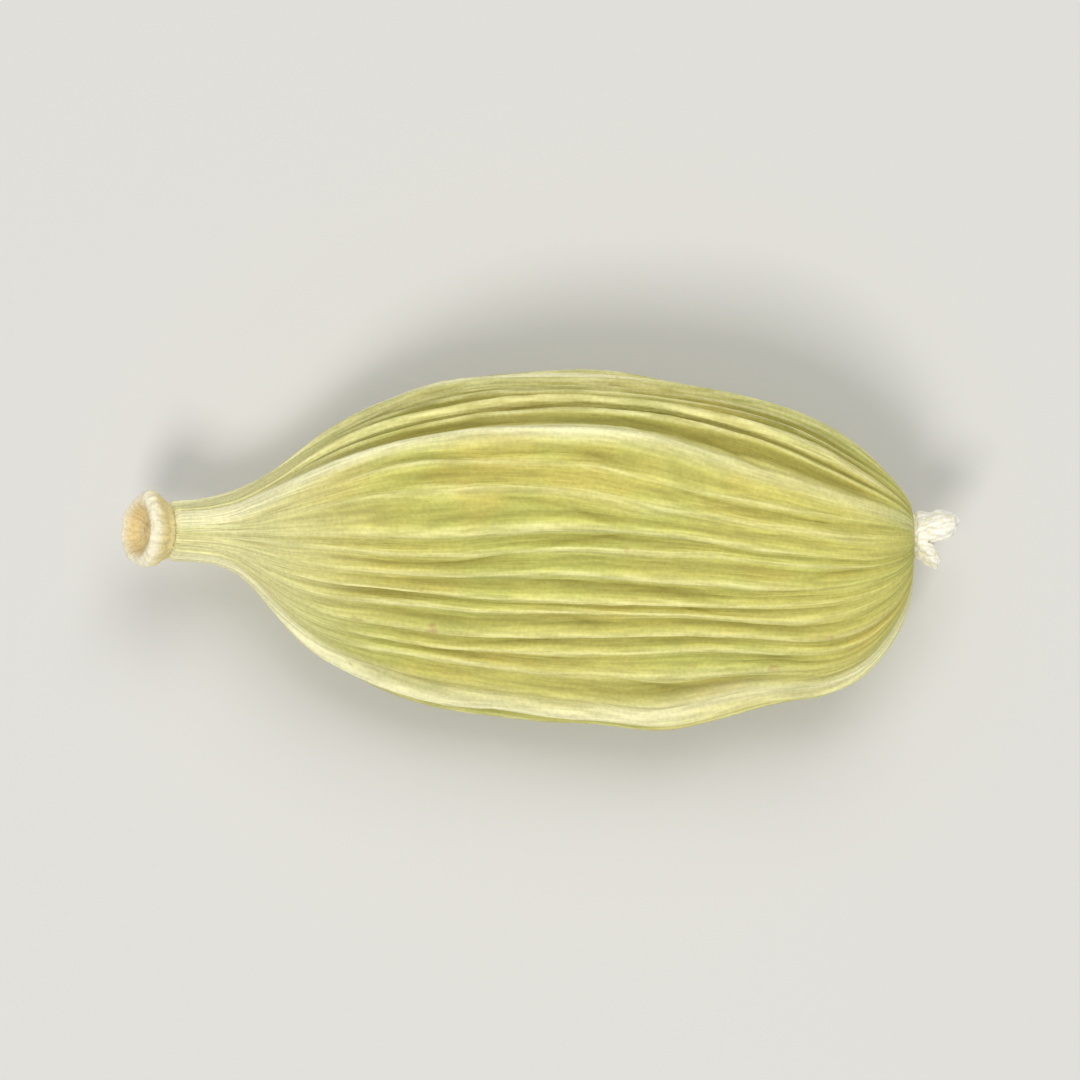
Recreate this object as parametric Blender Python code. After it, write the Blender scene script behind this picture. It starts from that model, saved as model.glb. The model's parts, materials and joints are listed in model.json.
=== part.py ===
"""A dried green cardamom pod, 18 mm long, lying on the flattest of its three faces.

The pod lies along X, with its stalk end at -X and its tip at +X, and stands on Z = 0.
It has three pieces: the ribbed husk, the stub of its stalk with a round hollow scar,
and the dried remains of the flower at the tip. All sizes are in metres.

Everything is placed by a station, a distance along the pod's centre line from the end
of the stalk, and by an angle round that line, counted from +Y towards +Z.
"""

import math

import bpy
import numpy as np

MM = 0.001
TURN = 2.0 * math.pi

# Stations at which the pieces meet
STUB_LENGTH = 0.8 * MM
HUSK_END = 17.2 * MM
SEAT_GAP = 0.05 * MM  # between the husk and what sits on its ends

# The neck turns up towards the stalk, along an arc
NECK_TURN = math.radians(35.0)
NECK_ARC = 2.6 * MM

# Lying pose: the tip is tilted up until the weight stands over the flat spot
PITCH = math.radians(1.4)
PIVOT = 10.0 * MM  # station that the pod is tilted about
REST_DEPTH = 2.34 * MM  # from the pivot down to the flat spot
SPOT_STATION = 9.9 * MM
SPOT_REACH = (2.6 * MM, math.radians(38.0))  # along the husk and round it
MIDDLE = (8.98 * MM, -0.26 * MM)  # of the pod's length and of its width

# Outline seen from above. Each flank has its half width at the fullest, the station
# where its shoulder starts, how softly it starts, the length over which it fills out,
# and two powers that round it off to the tip, where the near flank is blunter.
NEAR_FLANK = (3.94 * MM, 2.42 * MM, 0.32 * MM, 2.0 * MM, 3.4, 0.45)
FAR_FLANK = (3.87 * MM, 3.08 * MM, 0.75 * MM, 1.75 * MM, 1.75, 0.62)
NECK_RADIUS = 0.56 * MM
TIP_RADIUS = 0.46 * MM
FULLEST = 9.6 * MM
TIP_ASIDE = 0.12 * MM  # how far the line bends to the near side at the tip
TIP_BEND = (14.0 * MM, HUSK_END)

# Cross-section: three bulging faces that meet in rounded corners. Each face has the
# angle that it faces and its distance from the centre line.
MAIN_FACE = (math.radians(134.0), 3.22 * MM)
BASE_FACE = (math.radians(272.0), 2.56 * MM)
FAR_FACE = (math.radians(16.0), 3.96 * MM)
SECTION_LIMIT = 4.6 * MM  # no corner reaches past this
SECTION_POWER = 4.0
SECTION_SIZE = 4.0 * MM  # the half width that these distances are given for
ROUND_UNTIL = (1.5 * MM, 6.0 * MM)  # the neck is round, and three-sided after it
ROUND_AGAIN = (12.0 * MM, 0.6)  # from here to the tip it loses this share of its sides

# Keels, the raised seams on the three corners: top, near and far. Each is a bell-shaped
# ridge of one width from neck to tip, in a shallow moat.
KEELS = (math.radians(65.0), math.radians(185.0), math.radians(348.0))
KEEL_RISE = 0.27 * MM
NECK_KEEL_RISE = 0.12 * MM
KEEL_WIDTH = 0.22 * MM
KEEL_MOAT = (0.35, 2.2)  # its depth and width as shares of the ridge's
KEEL_FILLS = (1.5 * MM, 4.5 * MM)  # stations over which a keel rises from the neck
KEEL_SINKS = 11.5 * MM  # from here to the tip each keel loses a share of its rise
KEEL_LOSSES = (0.75, 0.3, 0.4)
KEEL_LEAN = math.radians(17.0)  # the top keel leans over towards the tip
KEEL_LEANS_FROM = 9.0 * MM

# The near keel's edge bulges and dips towards the tip
EDGE_WAVE = 0.1 * MM
EDGE_WAVE_CREST = 11.5 * MM
EDGE_WAVE_LENGTH = 4.3 * MM
EDGE_WAVE_WIDTH = math.radians(30.0)
EDGE_WAVE_FROM = (9.0 * MM, 11.5 * MM)
EDGE_WAVE_UNTIL = (16.2 * MM, HUSK_END)

# Ribs, counted in steps from keel to keel over the main face, the base and the far
# face. They are uneven: each strays and wavers, and has a strength of its own.
RIB_STEPS = (12, 14, 8)
RIB_RISE = 0.14 * MM
FACE_STRENGTHS = (0.7, 0.9, 1.5)
STRONG_RIBS = (7.0, 2.5, 0.5)  # number, spread and added strength of the main face's
RIB_STRAY = math.radians(1.7)
RIB_WAVER = math.radians(1.5)
RIB_WAVER_LENGTH = 12.0 * MM
RIB_START = (3.9 * MM, 0.9 * MM)  # where a rib begins, and how much that varies
RIB_END = (15.2 * MM, 0.9 * MM)
RIB_FADE = 1.6 * MM
RIB_FALTER_LENGTH = 8.0 * MM
NECK_RIB_RISE = 0.07 * MM  # of every fourth rib, which reaches both ends
NECK_RIB_EVERY = 4

# Dried skin: shallow dents and swellings between the neck and the tip
SWELL = 0.04 * MM
SWELL_FROM = (3.0 * MM, 6.0 * MM)
SWELL_UNTIL = 15.5 * MM

# Fineness of the husk's mesh
COLUMNS_PER_RIB = 4
HUSK_ROWS = 34
CLOSER_ENDS = 0.1  # how much closer the rows stand at the neck and at the tip

# Stub of the stalk: from the bottom of the hollow scar, over the collar's rim, to the
# root in the neck, as stations and radii
STUB_OUTLINE = (
    (0.30 * MM, 0.20 * MM),
    (0.24 * MM, 0.40 * MM),
    (0.08 * MM, 0.52 * MM),
    (0.00 * MM, 0.66 * MM),
    (0.06 * MM, 0.76 * MM),
    (0.22 * MM, 0.79 * MM),
    (0.40 * MM, 0.73 * MM),
    (0.56 * MM, 0.64 * MM),
    (0.70 * MM, 0.57 * MM),
    (STUB_LENGTH, 0.53 * MM),
)
STUB_SIDES = 24
COLLAR_WOBBLE = (0.05, 0.04)  # three and five low corners round the collar's rim
COLLAR_FROM = 0.5 * MM  # radius past which the collar is out of round
COLLAR_FLARE = 0.3 * MM

# Dried flower: a low ring on the tip that carries three withered lobes. Each lobe has
# its length, its half thickness, its lean from the centre line and where it leans to.
RING_RADIUS = 0.46 * MM
RING_HEIGHT = 0.1 * MM
RING_PROFILE = ((0.0, 0.5), (0.0, 0.92), (0.6, 1.0), (1.0, 0.7))  # height and radius
LOBES = (
    (0.90 * MM, 0.36 * MM, math.radians(12.0), math.radians(40.0)),
    (0.58 * MM, 0.35 * MM, math.radians(38.0), math.radians(174.0)),
    (0.46 * MM, 0.30 * MM, math.radians(34.0), math.radians(285.0)),
)
LOBE_SIDES = 12
LOBE_ROWS = 7
LOBE_ROOT = 0.06  # share of its length that stands back in the ring
LOBE_OFFSET = 0.2 * MM  # of its root from the centre line
LOBE_LIFT = 0.06 * MM
LOBE_ROUND = 4.0
LOBE_SECTION = (0.8, 1.15)  # thinner outwards than sideways


def smooth_step(value, start, end):
    """0 before start, 1 after end, with no kink between."""
    share = np.clip((value - start) / (end - start), 0.0, 1.0)
    return share * share * (3.0 - 2.0 * share)


def soft_ramp(value, blend):
    """0 below zero and the value itself above it, rounded over the blend."""
    return blend * np.logaddexp(0.0, value / blend)


def centre_line(station):
    """X, Y, height and slope of the line that the sections stand across: an arc at the
    neck, then straight, but for a slight bend aside at the tip."""
    radius = NECK_ARC / NECK_TURN
    slope = np.clip(NECK_ARC - station, 0.0, NECK_ARC) / radius
    x = NECK_ARC - radius * np.sin(slope) + np.clip(station - NECK_ARC, 0.0, None)
    y = -TIP_ASIDE * smooth_step(station, *TIP_BEND)
    return x, y, radius * (1.0 - np.cos(slope)), slope


def on_sections(station, angle, radius):
    """Points at an angle and radius on the sections, with the whole pod tilted by its
    pitch and moved to where it lies."""
    x, y, height, slope = centre_line(station)
    up = radius * np.sin(angle)
    x = x + up * np.sin(slope) - PIVOT
    height = height + up * np.cos(slope)
    along = x * math.cos(PITCH) - height * math.sin(PITCH) + PIVOT - MIDDLE[0]
    across = y + radius * np.cos(angle) - MIDDLE[1]
    above = x * math.sin(PITCH) + height * math.cos(PITCH) + REST_DEPTH
    return np.stack(np.broadcast_arrays(along, across, above), axis=-1)


def flank(station, fullest, start, blend, rise, power, root):
    """Half width of one flank: a neck, a shoulder that fills out exponentially, and an
    end rounded as a superellipse down to the tip."""
    run = soft_ramp(station - start, blend)
    wide = NECK_RADIUS + (fullest - NECK_RADIUS) * (1.0 - np.exp(-run / rise))
    past = np.clip((station - FULLEST) / (HUSK_END - FULLEST), 0.0, 1.0)
    end = (1.0 - past**power) ** root
    return TIP_RADIUS + (wide - TIP_RADIUS) * end


def section_shape(station, angle):
    """How far the three-sided section stands out at an angle, as a share of the half
    width there. Each face adds a term that is large where the section faces its way,
    and the sum's root is a smooth outline with bulging sides and rounded corners."""
    total = SECTION_LIMIT**-SECTION_POWER
    for facing, distance in (MAIN_FACE, BASE_FACE, FAR_FACE):
        towards = np.maximum(0.0, np.cos(angle - facing))
        total = total + (towards / distance) ** SECTION_POWER
    shape = total ** (-1.0 / SECTION_POWER) / SECTION_SIZE
    sided = smooth_step(station, *ROUND_UNTIL)
    start, share = ROUND_AGAIN
    sided = sided * (1.0 - share * smooth_step(station, start, HUSK_END))
    return 1.0 + (shape - 1.0) * sided


def rib_numbers():
    """Every rib's number, counted round from the top keel, and which are keels."""
    number = np.arange(sum(RIB_STEPS))
    return number, np.isin(number, (0, RIB_STEPS[0], RIB_STEPS[0] + RIB_STEPS[1]))


def rib_angles(station):
    """Angle of every rib at each station, one row for each station. Ribs stand at even
    steps from keel to keel, less what each strays and wavers."""
    number, is_keel = rib_numbers()
    ends = (*KEELS[1:], KEELS[0] + TURN)
    even = []
    for first, last, steps in zip(KEELS, ends, RIB_STEPS):
        even.append(np.linspace(first, last, steps, endpoint=False))
    even = np.concatenate(even)
    stray = RIB_STRAY * np.sin(2.4 * number + 0.6)
    phase = 1.7 * np.sin(1.3 * number)
    waver = RIB_WAVER * np.sin(TURN * station / RIB_WAVER_LENGTH + phase)
    loose = np.where(is_keel, 0.25, 1.0)
    lean = KEEL_LEAN * smooth_step(station, KEEL_LEANS_FROM, HUSK_END)
    near_top = np.maximum(0.0, np.cos(even - KEELS[0])) ** 2
    return even + loose * (stray + waver) + lean * near_top


def rib_rises(station):
    """Height of every rib over its grooves at each station, none at the keels. Each has
    its own strength and fades out before the ends, but every fourth one reaches them."""
    number, is_keel = rib_numbers()
    middle, spread, added = STRONG_RIBS
    strength = np.repeat(FACE_STRENGTHS, RIB_STEPS) + 0.2 * np.sin(2.4 * number + 0.7)
    strength = strength + added * np.exp(-(((number - middle) / spread) ** 2))
    falter = np.sin(TURN * station / RIB_FALTER_LENGTH + 2.1 * number)
    start = RIB_START[0] + RIB_START[1] * np.sin(1.7 * number)
    end = RIB_END[0] + RIB_END[1] * np.sin(2.9 * number + 1.0)
    rise = RIB_RISE * strength * (0.85 + 0.15 * falter)
    rise = rise * smooth_step(station, start - RIB_FADE / 2.0, start + RIB_FADE)
    rise = rise * (1.0 - smooth_step(station, end - RIB_FADE, end + RIB_FADE))
    reaches = number % NECK_RIB_EVERY == 0
    rise = np.where(reaches, np.maximum(rise, NECK_RIB_RISE), rise)
    return np.where(is_keel, 0.0, rise)


def between_ribs(values, around):
    """Values given at the ribs, spread in even steps from each rib to the next. Round
    the whole husk they grow by the amount around."""
    column = np.arange(values.shape[1] * COLUMNS_PER_RIB)
    rib = column // COLUMNS_PER_RIB
    part = (column % COLUMNS_PER_RIB) / COLUMNS_PER_RIB
    closed = np.concatenate([values, values[:, :1] + around], axis=1)
    return closed[:, rib] * (1.0 - part) + closed[:, rib + 1] * part


def keel_ridges(station, angle, lines, size):
    """The three keels' relief: along each keel's line a bell-shaped ridge, less a lower
    and wider one for the moat that it stands in."""
    depth, width = KEEL_MOAT
    rise = KEEL_RISE - NECK_KEEL_RISE
    rise = NECK_KEEL_RISE + rise * smooth_step(station, *KEEL_FILLS)
    relief = 0.0
    for line, loss in zip(lines.T, KEEL_LOSSES):
        apart = np.mod(angle - line[:, None] + math.pi, TURN) - math.pi
        apart = (apart * size / KEEL_WIDTH) ** 2
        bell = np.exp(-apart) - depth * np.exp(-apart / width**2)
        relief = relief + bell * (1.0 - loss * smooth_step(station, KEEL_SINKS, HUSK_END))
    return rise * relief


def swelling(station, angle):
    """Shallow dents and swellings of the dried skin, as three crossed waves."""
    lengthwise = np.sin(station / (1.15 * MM) + 2.0 * np.sin(angle + 0.4))
    spiral = np.sin(station / (2.6 * MM) + 3.0 * angle)
    crossing = np.sin(station / (0.8 * MM) - 4.0 * angle)
    inside = smooth_step(station, *SWELL_FROM)
    inside = inside * (1.0 - smooth_step(station, SWELL_UNTIL, HUSK_END))
    return SWELL * inside * (lengthwise + 0.8 * spiral + 0.5 * crossing)


def edge_wave(station, angle):
    """A cosine wave along the near keel, falling to 0 beside it."""
    wave = np.cos(TURN * (station - EDGE_WAVE_CREST) / EDGE_WAVE_LENGTH)
    inside = smooth_step(station, *EDGE_WAVE_FROM)
    inside = inside * (1.0 - smooth_step(station, *EDGE_WAVE_UNTIL))
    aside = (angle - KEELS[1]) / EDGE_WAVE_WIDTH
    return EDGE_WAVE * wave * inside * np.exp(-(aside**2))


def rest_spot(station, angle):
    """1 in the middle of the flat spot on the underside, falling to 0 round it."""
    along = (station - SPOT_STATION) / SPOT_REACH[0]
    aside = np.mod(angle - BASE_FACE[0] + math.pi, TURN) - math.pi
    return np.exp(-((along**2 + (aside / SPOT_REACH[1]) ** 2) ** 2))


def husk_grid():
    """The husk's points: rows along the pod and columns round it, with a column on
    every rib's crest and in every groove. A rib is a narrow crest between round
    troughs, and the skin is smooth and level where the pod lies on it."""
    even = np.linspace(0.0, 1.0, HUSK_ROWS)
    share = even - CLOSER_ENDS * np.sin(TURN * even)
    start = STUB_LENGTH + SEAT_GAP
    station = (start + (HUSK_END - start) * share)[:, None]
    lines = rib_angles(station)
    angle = between_ribs(lines, TURN)
    rise = between_ribs(rib_rises(station), 0.0)
    column = np.arange(angle.shape[1])
    crest = 1.0 - np.sin(math.pi * (column % COLUMNS_PER_RIB) / COLUMNS_PER_RIB)
    far_share = 0.5 + 0.5 * np.cos(angle)
    size = flank(station, *NEAR_FLANK) * (1.0 - far_share)
    size = size + flank(station, *FAR_FLANK) * far_share
    relief = rise * (crest - 0.5) + swelling(station, angle)
    relief = relief + keel_ridges(station, angle, lines[:, rib_numbers()[1]], size)
    relief = relief * (1.0 - rest_spot(station, angle)) + edge_wave(station, angle)
    points = on_sections(station, angle, size * section_shape(station, angle) + relief)
    points[..., 2] = np.maximum(points[..., 2], 0.0)
    return points


def stub_grid():
    """The stub's outline carried round the centre line, its collar out of round."""
    station, radius = np.array(STUB_OUTLINE).T[:, :, None]
    angle = np.linspace(0.0, TURN, STUB_SIDES, endpoint=False)
    three, five = COLLAR_WOBBLE
    wobble = three * np.sin(3.0 * angle + 0.5) + five * np.sin(5.0 * angle)
    collar = np.clip((radius - COLLAR_FROM) / COLLAR_FLARE, 0.0, 1.0)
    return on_sections(station, angle, radius * (1.0 + collar * wobble))


def ring_grid():
    """The flower's low ring, with a rounded edge, on the flat end of the husk."""
    height, radius = np.array(RING_PROFILE).T[:, :, None]
    station = HUSK_END + SEAT_GAP + RING_HEIGHT * height
    angle = np.linspace(0.0, TURN, 2 * LOBE_SIDES, endpoint=False)
    return on_sections(station, angle, RING_RADIUS * radius)


def lobe_grid(length, half, lean, way):
    """A blunt, slightly flattened lobe that starts inside the ring and leans out."""
    even = np.linspace(0.0, 1.0, LOBE_ROWS)[:, None]
    along = (1.0 + LOBE_ROOT) * np.sin(even * math.pi / 2.0) - LOBE_ROOT
    angle = np.linspace(0.0, TURN, LOBE_SIDES, endpoint=False)
    bluntness = 1.02 - np.clip(along, 0.0, 1.0) ** LOBE_ROUND
    out = LOBE_OFFSET + along * length * math.sin(lean)
    out = out + LOBE_SECTION[0] * half * np.sqrt(bluntness) * np.cos(angle)
    aside = LOBE_SECTION[1] * half * np.sqrt(bluntness) * np.sin(angle)
    station = HUSK_END + SEAT_GAP + LOBE_LIFT + along * length * math.cos(lean)
    y = out * math.cos(way) - aside * math.sin(way)
    z = out * math.sin(way) + aside * math.cos(way)
    return on_sections(station, np.arctan2(z, y), np.hypot(y, z))


def closed_mesh(name, grid):
    """A closed mesh from a grid whose columns run round and whose rows run towards the
    tip. A fan to its middle point closes each end."""
    rows, columns = grid.shape[:2]
    vertices = [*grid.reshape(-1, 3), grid[0].mean(axis=0), grid[-1].mean(axis=0)]
    start_middle, end_middle = rows * columns, rows * columns + 1
    last_row = (rows - 1) * columns
    faces = []
    for column in range(columns):
        beside = (column + 1) % columns
        for here in range(0, last_row, columns):
            there = here + columns
            faces.append((here + column, here + beside, there + beside, there + column))
        faces.append((start_middle, beside, column))
        faces.append((end_middle, last_row + column, last_row + beside))
    mesh = bpy.data.meshes.new(name)
    mesh.from_pydata([point.tolist() for point in vertices], [], faces)
    mesh.shade_smooth()
    return mesh


def make_material(name, colour, roughness):
    material = bpy.data.materials.new(name)
    material.use_nodes = True
    shader = material.node_tree.nodes["Principled BSDF"]
    shader.inputs["Base Color"].default_value = (*colour, 1.0)
    shader.inputs["Roughness"].default_value = roughness
    shader.inputs["Metallic"].default_value = 0.0
    return material


def add_piece(name, grid, material):
    piece = bpy.data.objects.new(name, closed_mesh(name, grid))
    piece.data.materials.append(material)
    bpy.context.scene.collection.objects.link(piece)
    return piece


def add_flower_remnant(material):
    """The ring and its lobes, joined into one body."""
    flower = add_piece("flower_remnant", ring_grid(), material)
    lobes = bpy.data.collections.new("lobes")
    bpy.context.scene.collection.children.link(lobes)
    for lobe in LOBES:
        mesh = closed_mesh("lobe", lobe_grid(*lobe))
        lobes.objects.link(bpy.data.objects.new("lobe", mesh))
    join = flower.modifiers.new("join lobes", "BOOLEAN")
    join.operation = "UNION"
    join.operand_type = "COLLECTION"
    join.collection = lobes
    bpy.context.view_layer.objects.active = flower
    bpy.ops.object.modifier_apply(modifier=join.name)
    for lobe in list(lobes.objects):
        bpy.data.objects.remove(lobe, do_unlink=True)
    bpy.data.collections.remove(lobes)


def main():
    for old in list(bpy.data.objects):
        bpy.data.objects.remove(old, do_unlink=True)
    add_piece("husk", husk_grid(), make_material("dry_husk", (0.61, 0.59, 0.20), 0.75))
    stalk = make_material("dry_stalk", (0.76, 0.57, 0.32), 0.85)
    add_piece("stalk_stub", stub_grid(), stalk)
    add_flower_remnant(make_material("withered_petal", (0.85, 0.80, 0.60), 0.9))


main()
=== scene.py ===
"""The looks of a dried green cardamom pod that lies on one of its three faces.

The husk, the stub of its stalk and the dried remains of its flower stand in for the
plain solids of the frame. Each repeats the solid's own formulas on a finer grid, and
adds what is too fine for the solid: veins between the ribs, puckers, folds and fibres.

Everything is placed by a station, a distance along the pod's centre line from the end
of the stalk, and by an angle round that line, counted from +Y towards +Z.
"""

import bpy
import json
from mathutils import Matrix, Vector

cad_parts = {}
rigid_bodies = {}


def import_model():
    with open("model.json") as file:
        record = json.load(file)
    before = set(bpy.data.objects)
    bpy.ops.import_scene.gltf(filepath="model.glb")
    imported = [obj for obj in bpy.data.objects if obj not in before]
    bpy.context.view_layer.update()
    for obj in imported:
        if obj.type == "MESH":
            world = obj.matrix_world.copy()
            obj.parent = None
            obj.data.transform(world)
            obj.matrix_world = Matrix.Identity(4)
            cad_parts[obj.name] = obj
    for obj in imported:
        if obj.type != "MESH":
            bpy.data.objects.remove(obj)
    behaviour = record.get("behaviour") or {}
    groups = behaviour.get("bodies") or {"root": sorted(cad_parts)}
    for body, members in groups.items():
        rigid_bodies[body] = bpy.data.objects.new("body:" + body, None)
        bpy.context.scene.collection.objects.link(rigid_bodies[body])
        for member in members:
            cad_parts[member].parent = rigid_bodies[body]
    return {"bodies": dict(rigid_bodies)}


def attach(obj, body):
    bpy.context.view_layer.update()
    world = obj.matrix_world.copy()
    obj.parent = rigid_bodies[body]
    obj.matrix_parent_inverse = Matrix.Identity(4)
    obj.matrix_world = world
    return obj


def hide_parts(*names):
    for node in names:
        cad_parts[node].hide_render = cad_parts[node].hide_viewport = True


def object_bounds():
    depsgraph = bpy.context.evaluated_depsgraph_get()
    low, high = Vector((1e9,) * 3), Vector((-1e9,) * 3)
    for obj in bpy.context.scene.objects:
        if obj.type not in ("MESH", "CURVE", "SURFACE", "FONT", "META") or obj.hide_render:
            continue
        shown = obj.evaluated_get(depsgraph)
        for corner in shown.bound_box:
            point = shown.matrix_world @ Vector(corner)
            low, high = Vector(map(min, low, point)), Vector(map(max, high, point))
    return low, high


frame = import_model()
CAD_BOX = [list(corner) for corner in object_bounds()]

import functools
import itertools
import json
import math

import bpy
import numpy as np
from bpy.props import FloatProperty, FloatVectorProperty, PointerProperty
from mathutils import Vector

bl_info = {
    "name": "Cardamom Pod",
    "version": (1, 0, 0),
    "blender": (4, 5, 0),
    "location": "3D View > Sidebar > Cardamom",
    "description": "Builds the fine husk, stalk stub and flower remnant of a dried pod",
    "category": "Add Mesh",
}

MM = 0.001
TURN = 2.0 * math.pi
(BODY,) = frame["bodies"]

# Stations at which the pieces meet
STUB_LENGTH = 0.8 * MM
HUSK_END = 17.2 * MM
SEAT_GAP = 0.05 * MM  # between the solids, which the fine pieces close

# The neck turns up towards the stalk, along an arc
NECK_TURN = math.radians(35.0)
NECK_ARC = 2.6 * MM

# Lying pose, as the solids have it
PITCH = math.radians(1.4)
PIVOT = 10.0 * MM
REST_DEPTH = 2.34 * MM
SPOT_STATION = 9.9 * MM
SPOT_REACH = (2.6 * MM, math.radians(38.0))
MIDDLE = (8.98 * MM, -0.26 * MM)

# Outline seen from above: half width, start, blend and length of the shoulder, and two
# powers that round each flank off to the tip
NEAR_FLANK = (3.94 * MM, 2.42 * MM, 0.32 * MM, 2.0 * MM, 3.4, 0.45)
FAR_FLANK = (3.87 * MM, 3.08 * MM, 0.75 * MM, 1.75 * MM, 1.75, 0.62)
NECK_RADIUS = 0.56 * MM
TIP_RADIUS = 0.46 * MM
FULLEST = 9.6 * MM
TIP_ASIDE = 0.12 * MM
TIP_BEND = (14.0 * MM, HUSK_END)

# Cross-section: the angle that each bulging face faces, and its distance
MAIN_FACE = (math.radians(134.0), 3.22 * MM)
BASE_FACE = (math.radians(272.0), 2.56 * MM)
FAR_FACE = (math.radians(16.0), 3.96 * MM)
SECTION_LIMIT = 4.6 * MM
SECTION_POWER = 4.0
SECTION_SIZE = 4.0 * MM
ROUND_UNTIL = (1.5 * MM, 6.0 * MM)
ROUND_AGAIN = (12.0 * MM, 0.6)

# Keels, the raised seams on the three corners: top, near and far
KEELS = (math.radians(65.0), math.radians(185.0), math.radians(348.0))
NECK_KEEL_RISE = 0.12 * MM
KEEL_WIDTH = 0.22 * MM
KEEL_MOAT = (0.35, 2.2)
KEEL_FILLS = (1.5 * MM, 4.5 * MM)
KEEL_SINKS = 11.5 * MM
KEEL_LOSSES = (0.75, 0.3, 0.4)
KEEL_LEAN = math.radians(17.0)
KEEL_LEANS_FROM = 9.0 * MM
KEEL_UNEVENNESS = 0.3

# The near keel's wavy edge
EDGE_WAVE = 0.1 * MM
EDGE_WAVE_CREST = 11.5 * MM
EDGE_WAVE_LENGTH = 4.3 * MM
EDGE_WAVE_WIDTH = math.radians(30.0)
EDGE_WAVE_SPAN = ((9.0 * MM, 11.5 * MM), (16.2 * MM, HUSK_END))

# Ribs, counted in steps from keel to keel over the main face, the base and the far face
RIB_STEPS = (12, 14, 8)
FACE_STRENGTHS = (0.7, 0.9, 1.5)
STRONG_RIBS = (7.0, 2.5, 0.5)
RIB_UNEVENNESS = 0.35
RIB_STRAY = math.radians(1.7)
RIB_WAVER = math.radians(1.5)
RIB_WAVER_LENGTH = 12.0 * MM
RIB_START = (3.9 * MM, 0.9 * MM)
RIB_END = (15.2 * MM, 0.9 * MM)
RIB_FADE = 1.6 * MM
RIB_FALTER_LENGTH = 8.0 * MM
NECK_RIB_RISE = 0.07 * MM
NECK_RIB_EVERY = 4
CREST_ROUND = 0.14  # as a share of the rib's height

# Dents and swellings
SWELL = 0.04 * MM
SWELL_SPAN = ((3.0 * MM, 6.0 * MM), (15.5 * MM, HUSK_END))

# Noise along the ribs: the length of its waves, and its seed
JITTER_WAVES = (2.2 * MM, 11)
RIB_WAVES = (5.0 * MM, 12)
KEEL_WAVES = (1.7 * MM, 13)
LINE_WAVES = (5.0 * MM, 14)
RIB_APART = 3.37  # in the noise, so that each rib varies on its own

# The husk's grid stays under 200,000 triangles
COLUMNS_PER_RIB = 13
HUSK_ROWS = 222
PATH_STEPS = 4000  # along which the skin is measured

# The skin's own space, in which a pattern runs round with no seam: a cylinder measured
# in millimetres, as high as the husk's station or the stub's outline is long
SKIN_RADIUS = 3.2
STUB_SKIN_RADIUS = 0.6
STUB_SKIN_LENGTH = 2.0

# The husk's neck closes round the stub with a rounded lip, and its tip curls in
HUSK_START = 0.7 * MM
LIP = 0.16 * MM
LIP_RADIUS = 0.45 * MM
TIP_CURL = 0.05 * MM
TIP_CLOSES = 0.3

# Veins between two ribs: place, strength, seed of wandering, seed of coming and going
VEINS = ((0.5, 1.0, 21, 26), (0.27, 0.6, 22, 27), (0.75, 0.7, 23, 28))
VEIN_WIDTH = 0.09
VEIN_WANDER = 0.1
VEIN_WANDER_LENGTH = 4.0 * MM
VEIN_GATE_LENGTH = 6.0 * MM
VEIN_GATE = (-0.35, 0.3)

# Noise of the fine relief: sizes of its waves in the skin's space, seed, width of folds
WRINKLES = ((0.6, 0.6, 7.5), 41, 0.16)
SMALL_WRINKLES = ((0.3, 0.3, 3.0), 42, 0.2)
CREASES = ((0.75, 0.75, 8.0), 43, 0.09)
PUCKERED_AREAS = ((2.2, 2.2, 3.0), 31)
PUCKERED_WHERE = (-0.3, 0.5)
PUCKERS = ((0.4, 0.4, 0.34), 32)
SMALL_PUCKERS = ((0.2, 0.2, 0.2), 33)

# What is left of them on the ribs' crests and beyond the ribbed stretch
CREASES_ON_CRESTS = 0.35
PUCKERS_ON_CRESTS = 0.3
WRINKLES_BEYOND = 0.35
CREASES_BEYOND = 0.25
PUCKERS_BEYOND = 0.25

# Stretches of the ribs and of all fine relief, which fade in and out at their ends
RIBBED_SPAN = ((3.2 * MM, 5.8 * MM), (15.4 * MM, 17.1 * MM))
RELIEF_SPAN = ((HUSK_START, 2.2 * MM), (HUSK_END - 0.15 * MM, HUSK_END))

# Pale veins in the ribs' crests, bands on the far face, and crests painted lighter as a
# painted highlight against hollows painted darker as painted shade. Three values are those
# of the main face, the base and the far face.
# The highlight painted on a crest is full at this height
MARK_HEIGHT = 0.06 * MM  # over its surroundings, at which a crest is as pale as it gets
LINE_RISE = 0.08 * MM  # of the pale veins and bands, at full strength
LINE_WIDTH = 0.13  # of the pale veins, as a share of the ribs' distance
LINE_UNEVENNESS = 0.9
LINE_STRENGTHS = (0.3, 0.4, 0.8)
# How strongly each face's crests and hollows are painted with highlight and shade
FACE_PAINTED_LIGHT_CONTRASTS = (0.7, 1.0, 1.5)
# Raised where pale and sunk where dark; in colour the dark bands are painted shade and the pale
# ones partly a painted highlight
FAR_BANDS = (0.0, 0.3, 1.0, 0.7, -1.0, -1.0, 0.9, -0.7)  # pale and dark, from rib to rib

# Paleness along the keels: half width, strength beside the neck and further on, what
# each loses towards the tip, and how far it turns off the keel's line
KEEL_LINES = (0.16 * MM, 0.3 * MM, 0.22 * MM)
KEEL_PALENESS = (1.0, 0.85)
KEEL_PALEST_UNTIL = (4.0 * MM, 6.5 * MM)
PALENESS_FADES = (9.5 * MM, 13.5 * MM)
PALENESS_LOSSES = (0.6, 0.1, 0.4)
PALENESS_TURNS = (0.0, math.radians(-5.0), 0.0)

# Paleness of the neck, and a painted highlight: a pale band near the far rim, given by
# its rib, half width and strength
NECK_PALENESS = 0.6
NECK_PALE_UNTIL = (1.4 * MM, 6.4 * MM)
FAR_RIM = (28, 0.35 * MM, 0.9)
FAR_RIM_SPAN = ((2.6 * MM, 3.8 * MM), (9.5 * MM, 13.0 * MM))

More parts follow.
